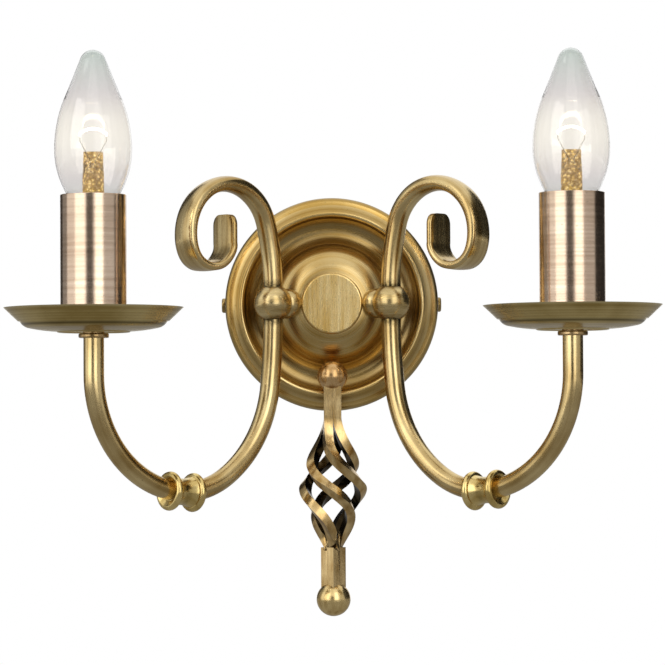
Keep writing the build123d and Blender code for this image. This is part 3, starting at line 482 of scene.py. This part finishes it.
lamp_glass, tree, shader, place = glassy("lamp_glass", 0.0)
folded = join(tree, *split(tree, place, fold=True))
painted_glow_centre = (candle_axis.x, candle_axis.y, filament_height - 2 * MM)
painted_glow_distance = work_out(tree, "DIVIDE", work_out_vector(tree, "DISTANCE", folded, painted_glow_centre), painted_glow_radius)
# painted light: warm white near the filament and a warm emission fading out from it; green tint further off
glass_tint_and_painted_warmth = ramp(tree, painted_glow_distance, (0.30, shade("FFFDF6")), (0.55, shade("EAE7E6")), (0.95, shade("DCE2DE")))
glow = ramp(tree, painted_glow_distance, (0.12, (0.12, 0.10, 0.05, 1)), (0.36, (0.02, 0.017, 0.012, 1)), (0.6, (0, 0, 0, 1)))
ripple = add(tree, "ShaderNodeBump", Strength=0.10, Distance=0.5 * MM)
waves = noise(tree, work_out_vector(tree, "MULTIPLY", place, (1, 1, 0.25)), 90.0, 1.0)
tree.links.new(glass_tint_and_painted_warmth, shader.inputs["Base Color"])
tree.links.new(glow, shader.inputs["Emission Color"])
tree.links.new(waves, ripple.inputs["Height"])
tree.links.new(ripple.outputs["Normal"], shader.inputs["Normal"])


def turned_on_lamp(name, outline, low, high, rows, around):
    """A round piece on the right lamp's axis; outline gives its radius by height and place round the axis."""
    bpy.ops.object.select_all(action="DESELECT")
    middle = (candle_axis.x, candle_axis.y, (low + high) / 2)
    bpy.ops.mesh.primitive_cylinder_add(vertices=around, radius=MM, depth=high - low, location=middle)
    bpy.ops.object.transform_apply(location=True, rotation=True, scale=True)
    piece = bpy.context.object
    piece.name = piece.data.name = name
    pick_none("EDGE")
    for edge in piece.data.edges:
        foot, top = (piece.data.vertices[v].co.z for v in edge.vertices)
        edge.select = abs(top - foot) > (high - low) / 2
    bpy.ops.object.mode_set(mode="EDIT")
    bpy.ops.mesh.subdivide(number_cuts=rows - 1)
    bpy.ops.object.mode_set(mode="OBJECT")
    for point in piece.data.vertices:
        spoke = Vector((point.co.x - candle_axis.x, point.co.y - candle_axis.y)).normalized()
        spoke *= outline(point.co.z, math.atan2(spoke.y, spoke.x))
        point.co.x, point.co.y = candle_axis.x + spoke.x, candle_axis.y + spoke.y
    bpy.ops.object.shade_smooth_by_angle(angle=math.radians(50))
    return piece


cap_nickel = Antiqued("cap_nickel", "B4B0A6", "DEDAD0", 0.20, 1800.0, 0.04, 120.0)
cap_nickel.brush(0.1, 0.1, 1)
cap_low, cap_high = (corner.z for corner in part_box("bulb_cap_right"))
cap_radius = 6.8 * MM
cap_toe, cap_toe_depth = 0.9 * MM, 0.7 * MM
thread_pitch = 2.82 * MM
thread_depth = 0.45 * MM
thread_run_out = 1.2 * MM
thread_low, thread_high = cap_low + 1.2 * MM, cap_high - 4.6 * MM


def cap_outline(height, around):
    """A plain collar under the glass, and below it a round thread that runs out at both ends."""
    run_out = min(height - thread_low, thread_high - height) / thread_run_out
    wave = 0.5 - 0.5 * math.cos(2 * math.pi * height / thread_pitch - around)
    toe = max(0.0, 1 - (height - cap_low) / cap_toe)
    return cap_radius - thread_depth * wave * max(0.0, min(1.0, run_out)) - cap_toe_depth * toe**2


# The stem is glass tube, pinched round the wires and full of small seeds. Its gold colour and the sparkle
# that the seeds give off are painted light, standing in for the filament's glow on it.
mount_glass, tree, shader, place = glassy("mount_glass", 0.05)
seeds = add(tree, "ShaderNodeTexVoronoi", Scale=620.0)
tree.links.new(place, seeds.inputs["Vector"])
# painted light: the seeds glow and the stem is tinted gold, as the lit filament would make them look
painted_sparkle = (0.10, (0.50, 0.38, 0.16, 1)), (0.34, (0.12, 0.09, 0.04, 1)), (0.62, (0.0, 0.0, 0.0, 1))
gold = (0.10, shade("FFF0B8")), (0.34, shade("D8B468")), (0.62, shade("B08A44"))
tree.links.new(ramp(tree, seeds.outputs["Distance"], *gold), shader.inputs["Base Color"])
tree.links.new(ramp(tree, seeds.outputs["Distance"], *painted_sparkle), shader.inputs["Emission Color"])
crackle = add(tree, "ShaderNodeBump", Strength=0.7, Distance=0.4 * MM)
tree.links.new(seeds.outputs["Distance"], crackle.inputs["Height"])
tree.links.new(crackle.outputs["Normal"], shader.inputs["Normal"])
stem_low, stem_high = 32.2 * MM, 66.0 * MM
stem_radius = 4.9 * MM
pinch_foot, pinch_length = 55.0 * MM, 8 * MM


def stem_outline(height, around):
    """A straight tube, pinched flat at the top."""
    pinch = max(0.0, min(1.0, (height - pinch_foot) / pinch_length))
    return stem_radius * (1 - pinch * 0.55 * abs(math.sin(around)) - 0.10 * pinch)


def for_left(piece, name):
    """The same piece on the left lamp, with its own mesh."""
    other = bpy.data.objects.new(name, piece.data.copy())
    other.data.name = name
    other.data.transform(Matrix.Translation((-2 * candle_axis.x, 0, 0)))
    bpy.context.scene.collection.objects.link(other)
    return other


cap = turned_on_lamp("lamp_cap_right", cap_outline, cap_low, cap_high, 96, 64)
cap.data.materials.append(cap_nickel.material)
stem = turned_on_lamp("lamp_stem_right", stem_outline, stem_low, stem_high, 32, 40)
stem.data.materials.append(mount_glass)
for right_piece, packed, slot_name in ((cap, "bulb_cap", "cap_nickel"), (stem, "bulb_mount", "mount_glass")):
    left_piece = for_left(right_piece, right_piece.name.replace("right", "left"))
    for piece, side in ((right_piece, "right"), (left_piece, "left")):
        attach(piece, f"bulb_{side}")
        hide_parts(f"{packed}_{side}")

filament_wire = bpy.data.materials.new("filament_wire")
filament_wire.use_nodes = True
tree = filament_wire.node_tree
shader = tree.nodes["Principled BSDF"]
for label, value in (("Metallic", 1.0), ("Roughness", 0.3), ("Emission Strength", 14.0)):
    shader.inputs[label].default_value = value
z = split(tree, add(tree, "ShaderNodeTexCoord").outputs["Object"])[2]
heat = rescale(tree, z, filament_height - 1.2 * MM, filament_height - 0.2 * MM)
hot = ramp(tree, heat, (0.0, (0, 0, 0, 1)), (1.0, (1.0, 0.86, 0.62, 1)))
tree.links.new(hot, shader.inputs["Emission Color"])
bare = ramp(tree, heat, (0.0, shade("B8B4AC")), (1.0, shade("6E6A66")))
tree.links.new(bare, shader.inputs["Base Color"])
tip_solder = Antiqued("tip_solder", "8F918F", "C2C4C2", 0.35, 900.0, 0.10, 200.0)
cap_black = moulded("cap_black", "1A1826", 0.15)
lead_sheath = moulded("lead_sheath", "C9C2B2", 0.40)
for side, _ in SIDES:
    finish(lamp_glass, f"bulb_glass_{side}")
    finish(filament_wire, f"bulb_filament_{side}")
    finish(cap_black, f"bulb_insulator_{side}")
    finish(lead_sheath, f"lead_{side}")
    tip_solder.on(f"bulb_tip_{side}")

# ---- basket finial -----------------------------------------------------------------------------------------
# Four square bars, twisted hot and pushed together so that they belly out, between two turned balls.
# Their outward faces are gold bronze; the faces turned into the basket are darkened nearly black as painted
# shade, and a lighter metal on each corner is a painted highlight.

finial_axis = Vector((0, -32 * MM, 0))
finial_bronze = Antiqued("finial_bronze", "B88F58", "EAC48E", 0.24, 2200.0, 0.09, 90.0)
finial_bronze.brush(1, 1, 0.12)
finial_bronze.on("finial_stem", "finial_ball_top")
foot_bronze = Antiqued("foot_bronze", "BA9858", "EED294", 0.24, 2200.0, 0.09, 90.0)
foot_bronze.brush(1, 1, 0.12)
foot_bronze.on("finial_ball_bottom")

bar_bronze = Antiqued("bar_bronze", "B69256", "F2D49A", 0.20, 1800.0, 0.06, 120.0)
bar_bronze.brush(1, 1, 0.2)
tree = bar_bronze.tree
outward = work_out_vector(tree, "SUBTRACT", bar_bronze.place, tuple(finial_axis))
outward = work_out_vector(tree, "NORMALIZE", work_out_vector(tree, "MULTIPLY", outward, (1, 1, 0)))
painted_shade_facing = work_out_vector(tree, "DOT_PRODUCT", add(tree, "ShaderNodeNewGeometry").outputs["Normal"], outward)
# painted shade: faces that look into the basket are darkened nearly black
bar_bronze.stain(rescale(tree, painted_shade_facing, 0.25, 0.8, 0.94, 0.0), "1E1810")
bar_corner = Antiqued("bar_corner", "CDB282", "F2E2BE", 0.18, 1800.0, 0.05, 160.0)
bar_corner.brush(1, 1, 0.2)

corner_width = 0.34 * MM
for number in range(1, 5):
    bar = copy_of(f"twist_bar_{number}", f"basket_bar_{number}")
    bar.data.materials.append(bar_bronze.material)
    bar.data.materials.append(bar_corner.material)
    # painted highlight: a thin bevel along each corner carries the second, lighter metal
    highlight_bevel = bar.modifiers.new("painted_highlight_corners", "BEVEL")
    highlight_bevel.width = corner_width
    highlight_bevel.segments = 2
    highlight_bevel.limit_method = "ANGLE"
    highlight_bevel.angle_limit = math.radians(40)
    highlight_bevel.material = 1
    bpy.ops.object.modifier_apply(modifier=highlight_bevel.name)
    bpy.ops.object.shade_smooth_by_angle(angle=math.radians(32))
    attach(bar, "fixture")
    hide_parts(f"twist_bar_{number}")

# ---- studio ------------------------------------------------------------------------------------------------
# A pale floor and white surroundings. Round the sconce stand the cards that a studio hangs for metal: dark
# ones draw the black lines down the tubes, bright ones the streaks. Only reflections see them.

card_distance = 3.5


def card(name, strength, place, turn, size):
    """A flat card as bright as its strength, which only reflections see."""
    bpy.ops.mesh.primitive_plane_add(size=1, location=place, rotation=turn)
    made = bpy.context.object
    made.name = name
    made.scale = (*size, 1)
    paint = bpy.data.materials.new(f"{name}_paint")
    paint.use_nodes = True
    paint.node_tree.nodes.clear()
    glow = add(paint.node_tree, "ShaderNodeEmission", Strength=strength)
    out = add(paint.node_tree, "ShaderNodeOutputMaterial")
    paint.node_tree.links.new(glow.outputs[0], out.inputs["Surface"])
    made.data.materials.append(paint)
    for ray in ("camera", "diffuse", "transmission", "shadow", "volume_scatter"):
        setattr(made, f"visible_{ray}", False)


for name, start, end, foot, top, strength in (
    ("card_centre", -22, 2, -0.6, 1.3, 0.10),
    ("card_right_bright", 8, 35, -1.4, 3.4, 2.1),
    ("card_right_grey", 36, 80, -2.2, 3.4, 0.58),
    ("card_right_dark", 80, 150, -2.2, 3.4, 0.03),
    ("card_left_bright", -62, -26, -1.6, 3.4, 2.0),
    ("card_left_pale", -98, -62, -2.2, 3.4, 1.0),
    ("card_left_grey", -128, -98, -2.2, 3.4, 0.30),
    ("card_left_dark", -160, -128, -2.2, 3.4, 0.05),
):
    middle = math.radians((start + end) / 2)
    width = 2 * card_distance * math.tan(math.radians(end - start) / 2)
    place = (card_distance * math.sin(middle), -card_distance * math.cos(middle), (foot + top) / 2)
    card(name, strength, place, (math.pi / 2, 0, middle), (width, top - foot))

floor_height = -0.30
card("card_below", 0.30, (0, 0, floor_height + 0.002), (0, 0, 0), (5, 5))


def see_white(tree, plain, white, share=1.0):
    """Mixes a plain surface with the white that the camera, metal and glass see in its place."""
    path = add(tree, "ShaderNodeLightPath").outputs
    seen = work_out(tree, "MAXIMUM", path["Is Camera Ray"], path["Is Glossy Ray"])
    seen = work_out(tree, "MAXIMUM", seen, path["Is Transmission Ray"])
    both = add(tree, "ShaderNodeMixShader")
    fill(tree, both.inputs, (work_out(tree, "MULTIPLY", seen, share), plain.outputs[0], white.outputs[0]))
    return both.outputs[0]


world = bpy.data.worlds.new("studio")
bpy.context.scene.world = world
world.use_nodes = True
tree = world.node_tree
tree.nodes.clear()
soft = add(tree, "ShaderNodeBackground", Color=(1, 1, 1, 1), Strength=0.55)
white = add(tree, "ShaderNodeBackground", Color=(1, 1, 1, 1), Strength=1.0)
tree.links.new(see_white(tree, soft, white), add(tree, "ShaderNodeOutputWorld").inputs["Surface"])

bpy.ops.mesh.primitive_plane_add(size=14, location=(0, 0, floor_height))
floor = bpy.context.object
floor.name = "floor"
floor_pale = bpy.data.materials.new("floor_pale")
floor_pale.use_nodes = True
tree = floor_pale.node_tree
tree.nodes.clear()
# near the sconce the floor is plain and keeps its shadow; further off it runs out into the white
x, y, z = split(tree, add(tree, "ShaderNodeTexCoord").outputs["Object"])
far_off = rescale(tree, work_out_vector(tree, "LENGTH", join(tree, x, y, 0.0)), 0.5, 1.3)
plain = add(tree, "ShaderNodeBsdfDiffuse", Color=(0.84, 0.84, 0.83, 1))
white = add(tree, "ShaderNodeEmission", Color=(1, 1, 1, 1), Strength=1.0)
out = add(tree, "ShaderNodeOutputMaterial")
tree.links.new(see_white(tree, plain, white, far_off), out.inputs["Surface"])
floor.data.materials.append(floor_pale)

lamp_distance = 2.2
for name, azimuth, height, size, power in (
    ("lamp_left", -50, 0.9, 1.6, 26),
    ("lamp_right", 40, 0.6, 1.4, 14),
    ("lamp_above", 0, 2.2, 2.0, 22),
):
    angle = math.radians(azimuth)
    spot = Vector((math.sin(angle) * lamp_distance, -math.cos(angle) * lamp_distance, height))
    bpy.ops.object.light_add(type="AREA", location=spot)
    lamp = bpy.context.object
    lamp.name = name
    lamp.data.size = size
    lamp.data.energy = power
    lamp.visible_glossy = False
    lamp.visible_camera = False
    lamp.rotation_euler = (Vector((0, -0.05, 0)) - spot).to_track_quat("-Z", "Y").to_euler()

# ---- camera ------------------------------------------------------------------------------------------------
# In front of the fixture and a little below its middle, where the photograph was taken, rolled by a third
# of a degree.

focal_pixels, picture_pixels = 3013.7, 665
yaw, pitch, roll = math.radians(0.499), math.radians(1.65), math.radians(-0.322)
bpy.ops.object.camera_add(location=(-0.0122, -1.4539, -0.0548))
camera = bpy.context.object
camera.name = "photo_camera"
aim = Euler((math.pi / 2 + pitch, 0, -yaw)).to_matrix() @ Matrix.Rotation(roll, 3, "Z")
camera.rotation_euler = aim.to_euler()
camera.data.sensor_width = 36.0
camera.data.lens = camera.data.sensor_width * focal_pixels / picture_pixels
bpy.context.scene.camera = camera
bpy.context.scene.view_settings.view_transform = "Standard"
